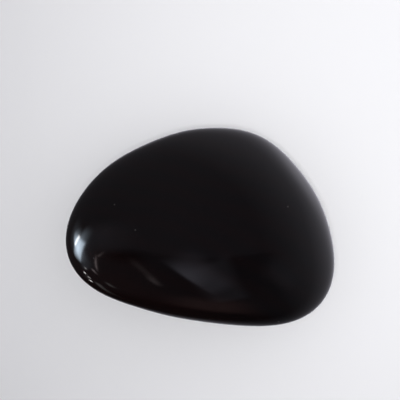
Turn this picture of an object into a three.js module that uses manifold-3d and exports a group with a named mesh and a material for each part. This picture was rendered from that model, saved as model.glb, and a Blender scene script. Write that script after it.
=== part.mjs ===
// A hand-polished freeform of rainbow obsidian: black volcanic glass, ground and tumbled
// to one smooth pebble about 100 mm long. One end is a thick round heel, and the stone
// thins from there to a narrow nose, with a small flat under it to rest on.
//
// Row frame, in millimetres: the stone lies on its back on the plane z = 0, with its show
// face up along +Z and its length along X. The origin is at the middle of the underside
// of its bounding box. The nose points to -X and the heel to +X.
//
// The surface is the unit sphere carried through smooth formulas, so no part of it has a
// seam, a crease or a pole. A point (x, y, z) of the sphere gives
//   the place in plan: (x, y), scaled to MEAN_RADIUS and swollen by the OUTLINE_SWELLS;
//   the height:        z times the height of the side there, plus the dome.
// Both are then pushed out by the fullness, which squares the section a little.
//
// The sphere's equator becomes the girdle, the stone's outline seen from above. Heights
// are counted from it, so it is level. Above the girdle lies the show face, a low dome.
// Below it lies the back, deeper and fuller, which rests on a small ground flat.

import * as THREE from "three";
import { mergeVertices } from "three/addons/utils/BufferGeometryUtils.js";
import Module from "manifold-3d";

// ---- Driving dimensions -----------------------------------------------------------------

// A swell is a smooth wave round the stone: how many crests it has, each crest's share of
// what it swells, and the direction of one crest in degrees, anticlockwise from +X.

const MEAN_RADIUS = 42.7; // of the outline in plan
const OUTLINE_SWELLS = [
  { crests: 2, share: 0.16, towards: -7 }, // makes it longer than wide
  { crests: 3, share: 0.078, towards: -44 }, // gives it a top, a nose and a lower corner
  { crests: 4, share: 0.011, towards: -16 },
  { crests: 5, share: 0.02, towards: -28 },
  { crests: 6, share: 0.008, towards: 18 },
  { crests: 8, share: 0.0046, towards: 14 }, // keeps the long lower side from dipping
];

// The side rounds the stone off from its girdle to the middle of its face or its back.
// The taller the side, the wider the rounding: the rim's radius grows with its square.
// The fullness is 0 for an oval section and 1 for one that is nearly square.
const FACE_SIDE_HEIGHT = 14; // above the girdle, the mean of all directions
const FACE_SIDE_SWELLS = [
  { crests: 1, share: 0.29, towards: -12 }, // the heel, and the thin nose across from it
  { crests: 2, share: 0.16, towards: 22 },
  { crests: 3, share: 0.12, towards: 24 },
  { crests: 4, share: 0.04, towards: 23 },
];
const FACE_FULLNESS = 0.15;
const BACK_SIDE_HEIGHT = 20; // below the girdle
const BACK_SIDE_SWELLS = [{ crests: 1, share: 0.08, towards: 5 }];
const BACK_FULLNESS = 0.55;
const SHOULDER = 0.3; // share of the sphere's radius over which the face becomes the back

const DOME_HEIGHT = 2; // what the middles of the face and the back add to the side
const GIRDLE_HEIGHT = 21.2; // above the resting plane
const FINENESS = 17; // points added along each edge of the icosahedron

// ---- Shape ------------------------------------------------------------------------------

const radians = THREE.MathUtils.degToRad;
const lerp = THREE.MathUtils.lerp; // from the first value to the second, by a share

// 1 plus the swells at the point (x, y) of the unit disc.
function swollen(swells, x, y) {
  const reach = Math.hypot(x, y); // 0 at the middle, 1 at the girdle
  const angle = Math.atan2(y, x);
  let sum = 1;
  for (const { crests, share, towards } of swells) {
    sum += share * reach ** crests * Math.cos(crests * (angle - radians(towards)));
  }
  return sum;
}

// Where the point (x, y, z) of the unit sphere lies on the stone, before it is centred.
function placeOnStone({ x, y, z }) {
  const faceShare = (1 + Math.tanh(z / SHOULDER)) / 2; // 1 on the face, 0 on the back
  const faceSide = FACE_SIDE_HEIGHT * swollen(FACE_SIDE_SWELLS, x, y);
  const backSide = BACK_SIDE_HEIGHT * swollen(BACK_SIDE_SWELLS, x, y);
  const side = lerp(backSide, faceSide, faceShare);
  const fullness = lerp(BACK_FULLNESS, FACE_FULLNESS, faceShare);
  const filled = (1 - 2 * fullness * (x ** 2 + y ** 2) * z ** 2) ** -0.25;
  const radius = filled * MEAN_RADIUS * swollen(OUTLINE_SWELLS, x, y);
  return new THREE.Vector3(
    radius * x,
    radius * y,
    GIRDLE_HEIGHT + filled * side * z + DOME_HEIGHT * z ** 3,
  );
}

// A closed geometry whose shared vertices are merged, with only positions left on it.
function merged(geometry) {
  geometry.deleteAttribute("normal");
  geometry.deleteAttribute("uv");
  return mergeVertices(geometry, 1e-4);
}

function warpedSphere() {
  const geometry = merged(new THREE.IcosahedronGeometry(1, FINENESS));
  const position = geometry.getAttribute("position");
  const point = new THREE.Vector3();
  for (let i = 0; i < position.count; i++) {
    point.fromBufferAttribute(position, i).normalize();
    position.setXYZ(i, ...placeOnStone(point).toArray());
  }
  return geometry;
}

// ---- Cut the resting flat ----------------------------------------------------------------

const wasm = await Module();
wasm.setup();

function solidOf(geometry) {
  return new wasm.Manifold(
    new wasm.Mesh({
      numProp: 3,
      vertProperties: new Float32Array(geometry.getAttribute("position").array),
      triVerts: new Uint32Array(geometry.index.array),
    }),
  );
}

function geometryOf(solid) {
  const mesh = solid.getMesh();
  return new THREE.BufferGeometry()
    .setAttribute("position", new THREE.BufferAttribute(mesh.vertProperties, 3))
    .setIndex(new THREE.BufferAttribute(mesh.triVerts, 1));
}

// Everything below the resting plane is ground away.
function groundFlat(geometry) {
  const wheelSize = 4 * MEAN_RADIUS;
  const wheel = merged(new THREE.BoxGeometry(wheelSize, wheelSize, wheelSize));
  wheel.translate(0, 0, -wheelSize / 2);
  return geometryOf(solidOf(geometry).subtract(solidOf(wheel)));
}

// ---- The part -----------------------------------------------------------------------------

const stoneGeometry = groundFlat(warpedSphere());
stoneGeometry.computeBoundingBox();
const middle = stoneGeometry.boundingBox.getCenter(new THREE.Vector3());
stoneGeometry.translate(-middle.x, -middle.y, 0);
stoneGeometry.computeVertexNormals();

const obsidian = new THREE.MeshStandardMaterial({
  color: 0x0b0a0c,
  roughness: 0.08,
  metalness: 0,
});

const stone = new THREE.Mesh(stoneGeometry, obsidian);
stone.name = "stone";

const part = new THREE.Group();
part.add(stone);

export default part;
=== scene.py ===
"""Looks of a hand-polished freeform of rainbow obsidian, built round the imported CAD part.

The stone is made again as a fine mesh, from the same formulas as the CAD solid, and finished as black
volcanic glass: mirror-polished, a little wavy from hand grinding, with small pits and hairlines.
Lengths are in metres in the row frame, where the stone lies on its flat with its show face up.
"""

import math

import bmesh
import bpy
import numpy as np
from mathutils import Matrix, Vector, noise


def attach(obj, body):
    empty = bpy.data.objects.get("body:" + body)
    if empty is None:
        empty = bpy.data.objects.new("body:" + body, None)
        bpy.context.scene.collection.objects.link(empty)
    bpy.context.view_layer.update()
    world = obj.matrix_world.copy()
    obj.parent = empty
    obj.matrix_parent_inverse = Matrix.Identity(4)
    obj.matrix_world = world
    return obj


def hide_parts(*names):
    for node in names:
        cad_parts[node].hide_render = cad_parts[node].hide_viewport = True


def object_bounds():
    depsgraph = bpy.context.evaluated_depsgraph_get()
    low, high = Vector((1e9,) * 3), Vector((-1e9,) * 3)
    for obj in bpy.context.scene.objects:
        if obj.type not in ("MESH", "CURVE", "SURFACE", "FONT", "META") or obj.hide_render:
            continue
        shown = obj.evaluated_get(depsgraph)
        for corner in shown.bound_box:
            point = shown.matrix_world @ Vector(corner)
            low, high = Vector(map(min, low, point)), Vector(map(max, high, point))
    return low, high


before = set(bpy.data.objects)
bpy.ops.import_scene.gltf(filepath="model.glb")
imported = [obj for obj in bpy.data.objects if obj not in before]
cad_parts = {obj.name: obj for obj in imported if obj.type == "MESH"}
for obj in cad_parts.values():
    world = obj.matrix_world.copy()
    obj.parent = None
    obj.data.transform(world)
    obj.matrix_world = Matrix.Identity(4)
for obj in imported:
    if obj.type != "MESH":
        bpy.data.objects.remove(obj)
cad_low, cad_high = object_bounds()

MM = 0.001

# ---- The stone's shape, in millimetres, as the CAD makes it --------------------------------------

# A swell is a smooth wave round the stone: how many crests it has, each crest's share of what it
# swells, and the direction of one crest in degrees, anticlockwise from +X.
MEAN_RADIUS = 42.7  # of the outline in plan
OUTLINE_SWELLS = [
    (2, 0.16, -7),
    (3, 0.078, -44),
    (4, 0.011, -16),
    (5, 0.02, -28),
    (6, 0.008, 18),
    (8, 0.0046, 14),
]
FACE_SIDE_HEIGHT = 14  # above the girdle, the mean of all directions
FACE_SIDE_SWELLS = [
    (1, 0.29, -12),
    (2, 0.16, 22),
    (3, 0.12, 24),
    (4, 0.04, 23),
]
FACE_FULLNESS = 0.15  # 0 for an oval section and 1 for one that is nearly square
BACK_SIDE_HEIGHT = 20  # below the girdle
BACK_SIDE_SWELLS = [(1, 0.08, 5)]
BACK_FULLNESS = 0.55
SHOULDER = 0.3  # share of the sphere's radius over which the face becomes the back
DOME_HEIGHT = 2  # what the middles of the face and the back add to the side
GIRDLE_HEIGHT = 21.2  # above the resting plane

FLAT_EASING = 0.25  # how far above and below the flat's plane its edge is rounded over
WAVINESS = 0.06  # how far hand grinding leaves the surface above and below the formula
WAVE_LENGTH = 16  # from one shallow swelling to the next
FINENESS = 7  # subdivisions of the icosahedron: 81,920 triangles


def swollen(swells, x, y):
    """1 plus the swells at points (x, y) of the unit disc."""
    reach = np.hypot(x, y)
    angle = np.arctan2(y, x)
    total = np.ones_like(x)
    for crests, share, towards in swells:
        total += share * reach**crests * np.cos(crests * (angle - math.radians(towards)))
    return total


def place_on_stone(sphere):
    """Where points of the unit sphere, one a row, lie on the stone before it is centred."""
    x, y, z = sphere.T
    face_share = (1 + np.tanh(z / SHOULDER)) / 2
    back_share = 1 - face_share
    face_side = FACE_SIDE_HEIGHT * swollen(FACE_SIDE_SWELLS, x, y)
    back_side = BACK_SIDE_HEIGHT * swollen(BACK_SIDE_SWELLS, x, y)
    side = face_share * face_side + back_share * back_side
    fullness = face_share * FACE_FULLNESS + back_share * BACK_FULLNESS
    filled = (1 - 2 * fullness * (x**2 + y**2) * z**2) ** -0.25
    radius = filled * MEAN_RADIUS * swollen(OUTLINE_SWELLS, x, y)
    height = GIRDLE_HEIGHT + filled * side * z + DOME_HEIGHT * z**3
    return np.column_stack((radius * x, radius * y, height))


def eased_flat(height):
    """Heights with everything below the resting plane ground away, and the edge rounded over."""
    eased = (height + FLAT_EASING) ** 2 / (4 * FLAT_EASING)
    return np.where(height < -FLAT_EASING, 0, np.where(height > FLAT_EASING, height, eased))


def waves(points):
    """The height of the hand-ground waves at points in millimetres, from -1 to 1."""
    return np.array([noise.noise(Vector(point) / WAVE_LENGTH) for point in points])


def positions(mesh):
    """A mesh's vertices, one a row."""
    flat = np.empty(len(mesh.vertices) * 3)
    mesh.vertices.foreach_get("co", flat)
    return flat.reshape(-1, 3)


def make_stone():
    mesh = bpy.data.meshes.new("polished_stone")
    shape = bmesh.new()
    bmesh.ops.create_icosphere(shape, subdivisions=FINENESS, radius=1)
    shape.to_mesh(mesh)
    shape.free()
    sphere = positions(mesh)
    sphere /= np.linalg.norm(sphere, axis=1, keepdims=True)

    points = place_on_stone(sphere)
    mesh.vertices.foreach_set("co", points.ravel())
    mesh.update()
    normals = np.array([normal.vector for normal in mesh.vertex_normals])
    points += WAVINESS * waves(points)[:, None] * normals
    points[:, 2] = eased_flat(points[:, 2])

    middle = (points.min(0) + points.max(0)) / 2
    points[:, :2] -= middle[:2]
    points *= MM
    mesh.vertices.foreach_set("co", points.ravel())
    mesh.polygons.foreach_set("use_smooth", [True] * len(mesh.polygons))
    mesh.update()
    stone = bpy.data.objects.new("polished_stone", mesh)
    bpy.context.scene.collection.objects.link(stone)
    return stone


# ---- Materials -----------------------------------------------------------------------------------


class Nodes:
    """Builds nodes in one node tree, from values that are sockets or plain numbers."""

    def __init__(self, tree):
        self.tree = tree

    def add(self, kind, **inputs):
        node = self.tree.nodes.new(kind)
        for name, value in inputs.items():
            self.feed(value, node.inputs[name.replace("_", " ")])
        return node

    def feed(self, value, socket):
        if isinstance(value, bpy.types.NodeSocket):
            self.tree.links.new(value, socket)
        else:
            socket.default_value = value

    def math(self, operation, *values):
        node = self.tree.nodes.new("ShaderNodeMath")
        node.operation = operation
        for value, socket in zip(values, node.inputs):
            self.feed(value, socket)
        return node.outputs[0]

    def total(self, *terms):
        """The sum of terms, each of them a value and its weight."""
        total = 0
        for value, weight in terms:
            total = self.math("MULTIPLY_ADD", value, weight, total)
        return total

    def dot(self, first, second):
        node = self.tree.nodes.new("ShaderNodeVectorMath")
        node.operation = "DOT_PRODUCT"
        self.feed(first, node.inputs[0])
        self.feed(second, node.inputs[1])
        return node.outputs["Value"]

    def mix(self, share, first, second):
        """A colour that goes from first to second as the share goes from 0 to 1."""
        node = self.tree.nodes.new("ShaderNodeMix")
        node.data_type = "RGBA"
        # The sockets for colours come after those for numbers and vectors.
        self.feed(share, node.inputs[0])
        self.feed(first, node.inputs[6])
        self.feed(second, node.inputs[7])
        return node.outputs[2]

    def mapped(self, place, **inputs):
        return self.add("ShaderNodeMapping", Vector=place, **inputs).outputs["Vector"]

    def noise(self, place, size, detail=2):
        """Smooth noise from 0 to 1 whose lumps are about a size across."""
        node = self.add("ShaderNodeTexNoise", Vector=place, Scale=1 / size, Detail=detail)
        return node.outputs["Fac"]

    def step(self, value, start, end):
        """A smooth step from 0 at start to 1 at end."""
        node = self.add("ShaderNodeMapRange", Value=value, From_Min=start, From_Max=end)
        node.interpolation_type = "SMOOTHSTEP"
        return node.outputs["Result"]


GLASS_IOR = 1.5
INKY = (0.0013, 0.001, 0.0013, 1)
MAHOGANY = (0.0055, 0.0012, 0.0008, 1)
DUST = (0.03, 0.027, 0.025, 1)

SHEET_SPACING = 7 * MM  # between the thin sheets of the flow
SHEET_TILT = (0.5, 0.3, 0.35)  # radians round X, Y and Z
SHEET_BEND = {"Distortion": 5, "Detail": 3, "Detail_Scale": 0.6}
WAVE_TEXTURE_TURN = 20  # radians of wave that the texture makes in a unit of its space
CLOUD_SIZE = 30 * MM
CLOUD_EDGE = (0.35, 0.7)  # the noise where a cloud starts, and where it is thickest
NOSE_WAY = (-1, 0, 0)
NOSE_REACH = (-45 * MM, 10 * MM)  # how far along that way the brown starts, and is fullest
# Towards the lower-left corner the mahogany is a painted warm reflection, not a colour of the glass.
WARM_REFLECTION_WAY = (-0.5, -0.85, 0)
WARM_REFLECTION_REACH = (15 * MM, 38 * MM)

# The share of mahogany that each of them adds at most.
SHEET_SHARE = 0.14
CLOUD_SHARE = 0.08
NOSE_SHARE = 0.1
WARM_REFLECTION_SHARE = 0.4

PIT_SPACING = 9 * MM
PIT_RIM = 0.34 * MM  # from a pit's middle to where it starts
PIT_BOTTOM = 0.18 * MM  # from a pit's middle to where it is deepest
PIT_DEPTH = 0.08 * MM
PIT_ROUGHNESS = 0.4

POLISH = 0.03  # roughness of the clean polish
SMUDGES = 0.05  # roughness that smudges add at most
SMUDGE_SIZE = 14 * MM

HAIRLINE_LENGTH = 17 * MM
HAIRLINE_SPACING = 0.67 * MM
HAIRLINE_DEPTH = 0.0006 * MM
HAIRLINE_TURN = 0.6  # radians from X


def mahogany_share(nodes, place):
    """How much mahogany the base colour takes: thin wavy sheets and clouds, more towards -X, and more
    towards -Y as a painted warm reflection in the lower-left corner.
    """
    tilted = nodes.mapped(place, Rotation=SHEET_TILT)
    scale = math.tau / (WAVE_TEXTURE_TURN * SHEET_SPACING)
    sheets = nodes.add("ShaderNodeTexWave", Vector=tilted, Scale=scale, **SHEET_BEND)
    sheets.bands_direction = "Y"
    clouds = nodes.step(nodes.noise(place, CLOUD_SIZE), *CLOUD_EDGE)
    nose = nodes.step(nodes.dot(place, NOSE_WAY), *NOSE_REACH)
    # Painted warm reflection: the base colour grows warmer towards the lower-left corner.
    corner = nodes.step(nodes.dot(place, WARM_REFLECTION_WAY), *WARM_REFLECTION_REACH)
    return nodes.total(
        (sheets.outputs["Fac"], SHEET_SHARE),
        (clouds, CLOUD_SHARE),
        (nose, NOSE_SHARE),
        (corner, WARM_REFLECTION_SHARE),
    )


def pits(nodes, place):
    """1 in a pit and 0 outside: a pit is where the surface passes close to the middle of a cell."""
    cells = nodes.add("ShaderNodeTexVoronoi", Vector=place, Scale=1 / PIT_SPACING)
    return nodes.step(cells.outputs["Distance"], PIT_RIM / PIT_SPACING, PIT_BOTTOM / PIT_SPACING)


def hairlines(nodes, place):
    """The fine scratches that polishing leaves, all combed one way."""
    stretch = (1 / HAIRLINE_LENGTH, 1 / HAIRLINE_SPACING, 1 / HAIRLINE_SPACING)
    combed = nodes.mapped(place, Rotation=(0, 0, HAIRLINE_TURN), Scale=stretch)
    return nodes.noise(combed, 1)


def obsidian():
    """Black volcanic glass: faint mahogany sheets and clouds in the body, a painted warm reflection
    towards the lower-left corner, and a polish with hairlines and pits.
    """
    material = bpy.data.materials.new("obsidian")
    material.use_nodes = True
    nodes = Nodes(material.node_tree)
    shader = material.node_tree.nodes["Principled BSDF"]
    place = nodes.add("ShaderNodeTexCoord").outputs["Object"]
    pit = pits(nodes, place)
    # The body colour also carries the painted warm reflection in the lower-left corner.
    body = nodes.mix(mahogany_share(nodes, place), INKY, MAHOGANY)
    smudge = nodes.noise(place, SMUDGE_SIZE, detail=4)
    roughness = nodes.math("ADD", nodes.total((smudge, SMUDGES), (pit, PIT_ROUGHNESS)), POLISH)
    height = nodes.total((hairlines(nodes, place), HAIRLINE_DEPTH), (pit, -PIT_DEPTH))
    bump = nodes.add("ShaderNodeBump", Height=height, Distance=1)

    shader.inputs["IOR"].default_value = GLASS_IOR
    nodes.feed(nodes.mix(pit, body, DUST), shader.inputs["Base Color"])
    nodes.feed(roughness, shader.inputs["Roughness"])
    nodes.feed(bump.outputs["Normal"], shader.inputs["Normal"])
    return material


stone = make_stone()
stone.data.materials.append(obsidian())
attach(stone, "root")
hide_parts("stone")

# ---- Studio --------------------------------------------------------------------------------------

bpy.context.scene.view_settings.view_transform = "Standard"


def direction(azimuth, elevation):
    """The unit vector at an azimuth anticlockwise from +X and an elevation, in degrees."""
    turn = math.radians(azimuth)
    climb = math.radians(elevation)
    across = math.cos(climb)
    return Vector((across * math.cos(turn), across * math.sin(turn), math.sin(climb)))


# The world is what the polish reflects where no pane hangs. It is a little lighter towards +Y and
# towards the ground, and never quite black.
WORLD_TINT = (1, 0.98, 1.1, 1)
WORLD_RADIANCE = 0.15
LIGHTER_WAY = (0, 1, -1)
WORLD_SLOPE = 0.067  # radiance that it gains along that way
WORLD_LEAST = 0.02

# Glows of the room's pale walls, and its dark places: azimuth, elevation, strength, and how tightly
# each is gathered.
GLOWS = [
    (25, -10, 0.4, 1),
    (5, -55, 0.45, 1),
    (35, -15, 0.5, 16),
    (80, -25, 0.1, 3),
    (260, -35, -0.2, 3),
    (0, 90, -0.03, 4),
    (200, 54, -0.055, 350),
]


def light_room():
    world = bpy.data.worlds.new("studio")
    world.use_nodes = True
    bpy.context.scene.world = world
    nodes = Nodes(world.node_tree)
    way = nodes.add("ShaderNodeTexCoord").outputs["Generated"]
    terms = [(nodes.dot(way, LIGHTER_WAY), WORLD_SLOPE)]
    for azimuth, elevation, strength, tightness in GLOWS:
        facing = nodes.math("MAXIMUM", nodes.dot(way, direction(azimuth, elevation)), 0)
        terms.append((nodes.math("POWER", facing, tightness), strength))
    radiance = nodes.math("ADD", nodes.total(*terms), WORLD_RADIANCE)
    background = world.node_tree.nodes["Background"]
    background.inputs["Color"].default_value = WORLD_TINT
    nodes.feed(nodes.math("MAXIMUM", radiance, WORLD_LEAST), background.inputs["Strength"])


FLOOR_RADIUS = 3.2
SWEEP_RADIUS = 1
SWEEP_STEP = 6  # degrees of the sweep from one ring of corners to the next
WALL_TOP = 2.2
CORNER_STEP = 4  # degrees from one corner of a ring to the next
FLOOR_COLOUR = (0.8, 0.8, 0.815, 1)
FLOOR_ROUGHNESS = 0.9
FLOOR_SPECULAR = 0.2


def floor_paint():
    """Plain matt paint, very slightly blue."""
    material = bpy.data.materials.new("floor_paint")
    material.use_nodes = True
    shader = material.node_tree.nodes["Principled BSDF"]
    shader.inputs["Base Color"].default_value = FLOOR_COLOUR
    shader.inputs["Roughness"].default_value = FLOOR_ROUGHNESS
    shader.inputs["Specular IOR Level"].default_value = FLOOR_SPECULAR
    return material


def make_floor():
    """A round floor that sweeps up into a wall all the way round, so that low views stay plain."""
    climbs = [math.radians(angle) for angle in range(0, 91, SWEEP_STEP)]
    rings = [
        (FLOOR_RADIUS + SWEEP_RADIUS * math.sin(climb), SWEEP_RADIUS * (1 - math.cos(climb)))
        for climb in climbs
    ]
    rings.append((FLOOR_RADIUS + SWEEP_RADIUS, WALL_TOP))
    turns = [math.radians(angle) for angle in range(0, 360, CORNER_STEP)]
    count = len(turns)
    corners = []
    faces = [tuple(range(count))]
    for ring, (reach, height) in enumerate(rings):
        corners += [(reach * math.cos(turn), reach * math.sin(turn), height) for turn in turns]
        for here in range(count if ring else 0):
            outer = ring * count
            inner = outer - count
            after = (here + 1) % count
            faces.append((inner + here, outer + here, outer + after, inner + after))
    mesh = bpy.data.meshes.new("floor")
    mesh.from_pydata(corners, [], faces)
    mesh.polygons.foreach_set("use_smooth", [False] + [True] * (len(faces) - 1))
    mesh.materials.append(floor_paint())
    floor = bpy.data.objects.new("floor", mesh)
    bpy.context.scene.collection.objects.link(floor)
    return floor


def hang(lamp, middle, side, back):
    """Hangs a lamp with its length along side and its back turned to back."""
    holder = bpy.data.objects.new(lamp.name, lamp)
    turn = Matrix((side, back.cross(side), back)).transposed()
    holder.matrix_world = Matrix.Translation(middle) @ turn.to_4x4()
    bpy.context.scene.collection.objects.link(holder)
    return holder


def softbox(name, length, breadth, radiance, colour=(1, 1, 1)):
    """An area lamp, its size in metres and its power worked out from its radiance."""
    lamp = bpy.data.lights.new(name, "AREA")
    lamp.shape = "RECTANGLE"
    lamp.size = length
    lamp.size_y = breadth
    lamp.energy = radiance * math.pi * length * breadth
    lamp.color = colour
    return lamp


PANE_DISTANCE = 3  # from the middle of the stone's box
WINDOW_BLUE = (0.85, 1.02, 1.2)
GREY_BLUE = (1, 0.98, 1.18)
LAMP_WHITE = (1.02, 1, 0.98)
ROSE = (1.16, 0.96, 0.97)
SKIN = (1.6, 0.84, 0.76)

# How much of a pane an edge takes to fade.
EDGE = 0.05
CRISP = 0.15
FIRM = 0.25
SOFT = 0.4
FADING = 1

# Panes of light in the room, which show only in the polish: azimuth, elevation and roll in degrees,
# length along the roll and breadth across it in metres, radiance, the fades of its start, end, near
# and far edges, and colour.
PANES = {
    "window": (192, 32, -40, 1.2, 0.7, 7.5, (CRISP, SOFT, SOFT, CRISP), WINDOW_BLUE),
    "window_glare": (190, 35, 5, 1.5, 0.75, 16, (SOFT, FADING, SOFT, FADING), WINDOW_BLUE),
    "window_sky": (187, 39, -35, 1.3, 0.5, 12, (FADING, SOFT, SOFT, FADING), WINDOW_BLUE),
    "window_streak": (184, 34, -50, 0.55, 0.2, 16, (CRISP, CRISP, SOFT, SOFT), LAMP_WHITE),
    "window_frame": (194, 43, -30, 2.1, 0.75, 0.22, (SOFT, CRISP, CRISP, FADING), WINDOW_BLUE),
    "window_leaf": (191, 39, -30, 1.5, 0.33, 0.15, (CRISP, SOFT, SOFT, SOFT), WINDOW_BLUE),
    "window_sheen": (183, 54, 0, 1.1, 0.9, 0.11, (SOFT, FIRM, SOFT, FADING), GREY_BLUE),
    "window_haze": (180, 24, -50, 1.7, 1.1, 1.2, (SOFT, FADING, FADING, CRISP), WINDOW_BLUE),
    "panel": (251, 65.5, -32, 2.2, 0.9, 0.15, (SOFT, FIRM, CRISP, SOFT), GREY_BLUE),
    "panel_core": (239, 66, -17, 1.6, 0.7, 1.6, (FADING, FADING, CRISP, FADING), GREY_BLUE),
    "panel_spill": (269, 57, 23, 1.3, 2.1, 0.09, (SOFT, FIRM, CRISP, CRISP), GREY_BLUE),
    "ceiling": (90, 73, -10, 6, 3.9, 0.05, (SOFT, SOFT, FADING, EDGE), GREY_BLUE),
    "doorway": (318, 48, 0, 1, 1.6, 0.09, (SOFT, FADING, SOFT, SOFT), GREY_BLUE),
    "warm_bounce": (266, 30, 0, 2.6, 2, 0.1, (SOFT, SOFT, SOFT, SOFT), SKIN),
    "streak": (227, 49.5, -32, 0.7, 0.22, 2.2, (FADING, FADING, SOFT, FADING), ROSE),
    "streak_tail": (214, 53, -14, 0.9, 0.15, 0.12, (SOFT, SOFT, SOFT, SOFT), ROSE),
    "curtain_edge": (206, 42, -35, 0.9, 0.06, 1.5, (SOFT, SOFT, SOFT, SOFT), ROSE),
    "curtain_fold": (214, 35, -25, 0.42, 0.1, 2.6, (SOFT, FADING, SOFT, SOFT), ROSE),
    "curtain_hook": (197, 48, -50, 0.3, 0.05, 0.9, (FADING, CRISP, SOFT, SOFT), ROSE),
    "catch": (206, 33, -70, 1.2, 0.5, 0.6, (FADING, SOFT, FADING, SOFT), WINDOW_BLUE),
    "sill_near": (219, 15, -60, 1.1, 0.5, 1, (FADING, SOFT, FADING, SOFT), LAMP_WHITE),
    "sill_far": (234, 5, -59, 1.8, 0.3, 0.72, (CRISP, FADING, SOFT, SOFT), LAMP_WHITE),
    "ledge": (228.5, 26.5, -45, 0.55, 0.14, 0.95, (SOFT, SOFT, SOFT, FADING), LAMP_WHITE),
}

# Small bulbs in a row under the window, which make glints: azimuth, elevation and radiance.
BULBS = [(210, 30, 3), (215, 20, 20), (220, 18, 8), (224, 10, 24)]
BULB_LENGTH = 0.2
BULB_BREADTH = 0.15
BULB_ROLL = -50


def hang_pane(name, middle, azimuth, elevation, roll, length, breadth, radiance, fades, colour):
    """Hangs a pane that faces the stone and fades towards its edges."""
    back = direction(azimuth, elevation)
    level = direction(azimuth + 90, 0)
    side = level * math.cos(math.radians(roll)) + back.cross(level) * math.sin(math.radians(roll))
    lamp = softbox(name, length, breadth, radiance, colour)
    lamp.use_nodes = True
    nodes = Nodes(lamp.node_tree)
    place = nodes.add("ShaderNodeTexCoord").outputs["UV"]
    along, across = nodes.add("ShaderNodeSeparateXYZ", Vector=place).outputs[:2]
    start, end, near, far = fades
    strength = nodes.math("MULTIPLY", nodes.step(along, 0, start), nodes.step(along, 1, 1 - end))
    strength = nodes.math("MULTIPLY", strength, nodes.step(across, 0, near))
    strength = nodes.math("MULTIPLY", strength, nodes.step(across, 1, 1 - far))
    nodes.feed(strength, lamp.node_tree.nodes["Emission"].inputs["Strength"])
    holder = hang(lamp, middle + PANE_DISTANCE * back, side, back)
    holder.visible_diffuse = False


def hang_panes(middle):
    for name, pane in PANES.items():
        hang_pane(name, middle, *pane)
    for azimuth, elevation, radiance in BULBS:
        shape = (BULB_ROLL, BULB_LENGTH, BULB_BREADTH)
        hang_pane("bulb", middle, azimuth, elevation, *shape, radiance, (SOFT,) * 4, LAMP_WHITE)


FILL_SIDE = 8
FILL_HEIGHT = 2.5
FILL_RADIANCE = 0.46
BEAM_HEIGHT = 0.9
BEAM_AIM = Vector((0.145, 0.07, 0))  # where it meets the floor, which is whitest there
BEAM_POWER = 24
BEAM_ANGLE = 41
BEAM_RADIUS = 0.12


def hang_floor_lights(middle):
    """Lights right above the stone, so that it hides most of its own shadow.

    They light the floor and the body of the glass, and don't show in the polish.
    """
    above = Vector((0, 0, 1))
    fill = softbox("fill", FILL_SIDE, FILL_SIDE, FILL_RADIANCE)
    holder = hang(fill, middle + FILL_HEIGHT * above, Vector((1, 0, 0)), above)
    holder.visible_glossy = False

    beam = bpy.data.lights.new("beam", "SPOT")
    beam.energy = BEAM_POWER
    beam.spot_size = math.radians(BEAM_ANGLE)
    beam.spot_blend = 1
    beam.shadow_soft_size = BEAM_RADIUS
    start = middle + BEAM_HEIGHT * above
    back = (start - BEAM_AIM).normalized()
    holder = hang(beam, start, Vector((0, 1, 0)).cross(back).normalized(), back)
    holder.visible_glossy = False


light_room()
floor = make_floor()
floor.visible_glossy = False  # the world stands in for it in the polish
box_middle = (cad_low + cad_high) / 2
hang_panes(box_middle)
hang_floor_lights(box_middle)

# ---- Camera --------------------------------------------------------------------------------------

CAMERA_HEIGHT = 450 * MM
GIRDLE = GIRDLE_HEIGHT * MM
PICTURE_WIDTH = 150 * MM  # what the picture takes in at the girdle
OFF_MIDDLE = 10.1 * MM  # how far the stone's middle lies below the picture's
SENSOR_WIDTH = 36
NEAREST_SEEN = 10 * MM

camera_data = bpy.data.cameras.new("camera")
camera_data.sensor_width = SENSOR_WIDTH
camera_data.lens = SENSOR_WIDTH * (CAMERA_HEIGHT - GIRDLE) / PICTURE_WIDTH
camera_data.clip_start = NEAREST_SEEN
camera = bpy.data.objects.new("camera", camera_data)
camera.location = (box_middle.x, box_middle.y + OFF_MIDDLE, CAMERA_HEIGHT)
bpy.context.scene.collection.objects.link(camera)
bpy.context.scene.camera = camera
